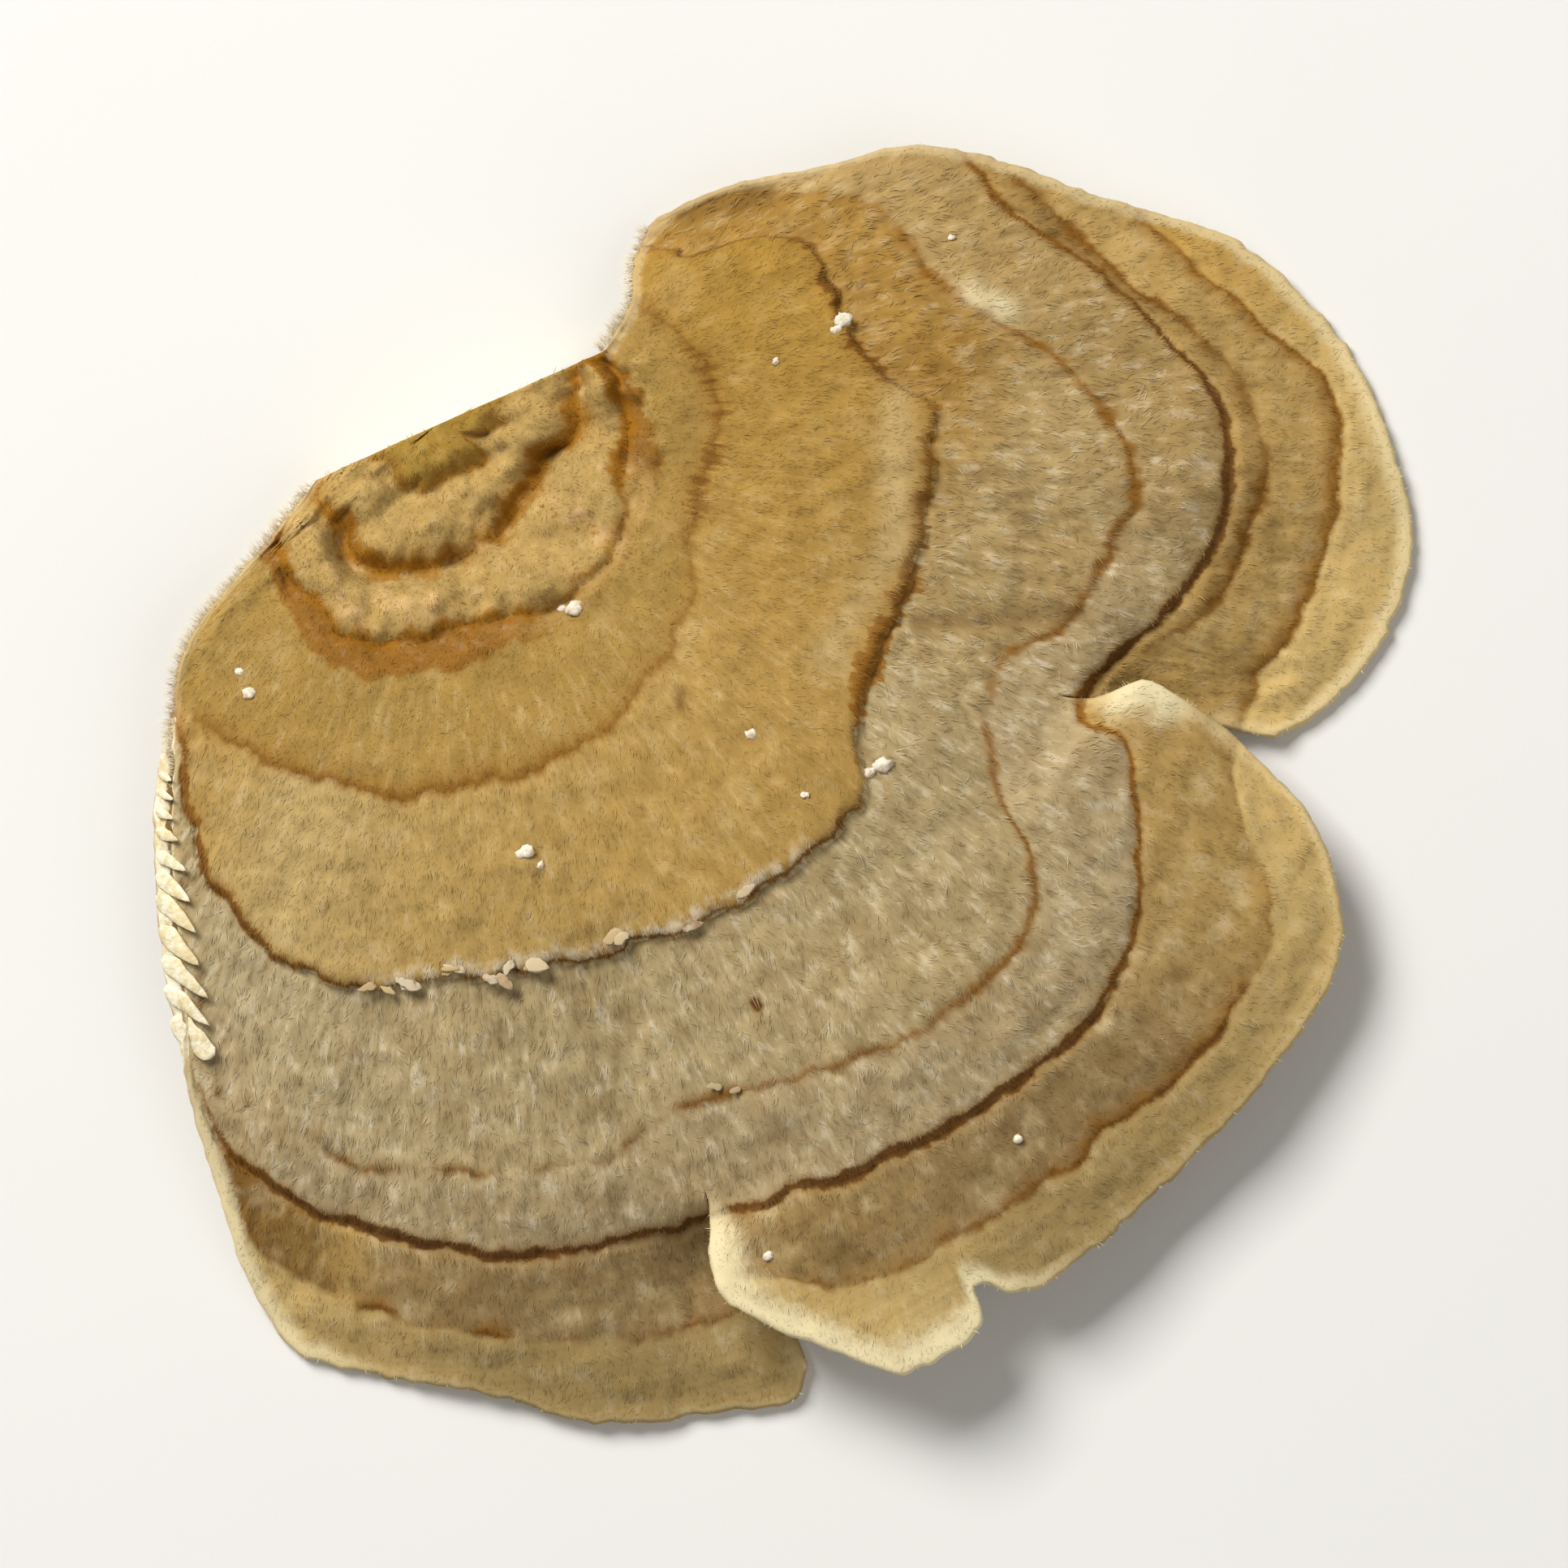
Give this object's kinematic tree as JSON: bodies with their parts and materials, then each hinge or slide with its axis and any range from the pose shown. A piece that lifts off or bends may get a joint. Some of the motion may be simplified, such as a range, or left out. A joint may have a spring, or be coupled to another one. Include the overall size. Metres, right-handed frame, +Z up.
{
  "type": "turkey tail fungus",
  "caption": "Dried turkey tail bracket: a thin, low-domed cap with zoned tan and ochre felt above, cream pores below, split lobes and a flat cut where it grew.",
  "frame": {"origin": "centre of the bounding box, at the level the bracket rests on", "axes": "+Z up through the zoned upper side, +Y the way the cap grew, away from the flat cut, +X across the cap"},
  "size_m": [0.044, 0.0366, 0.0052],
  "materials": {
    "cap": "matte"
  },
  "bodies": {
    "root": {"bracket": "cap"}
  },
  "joints": []
}
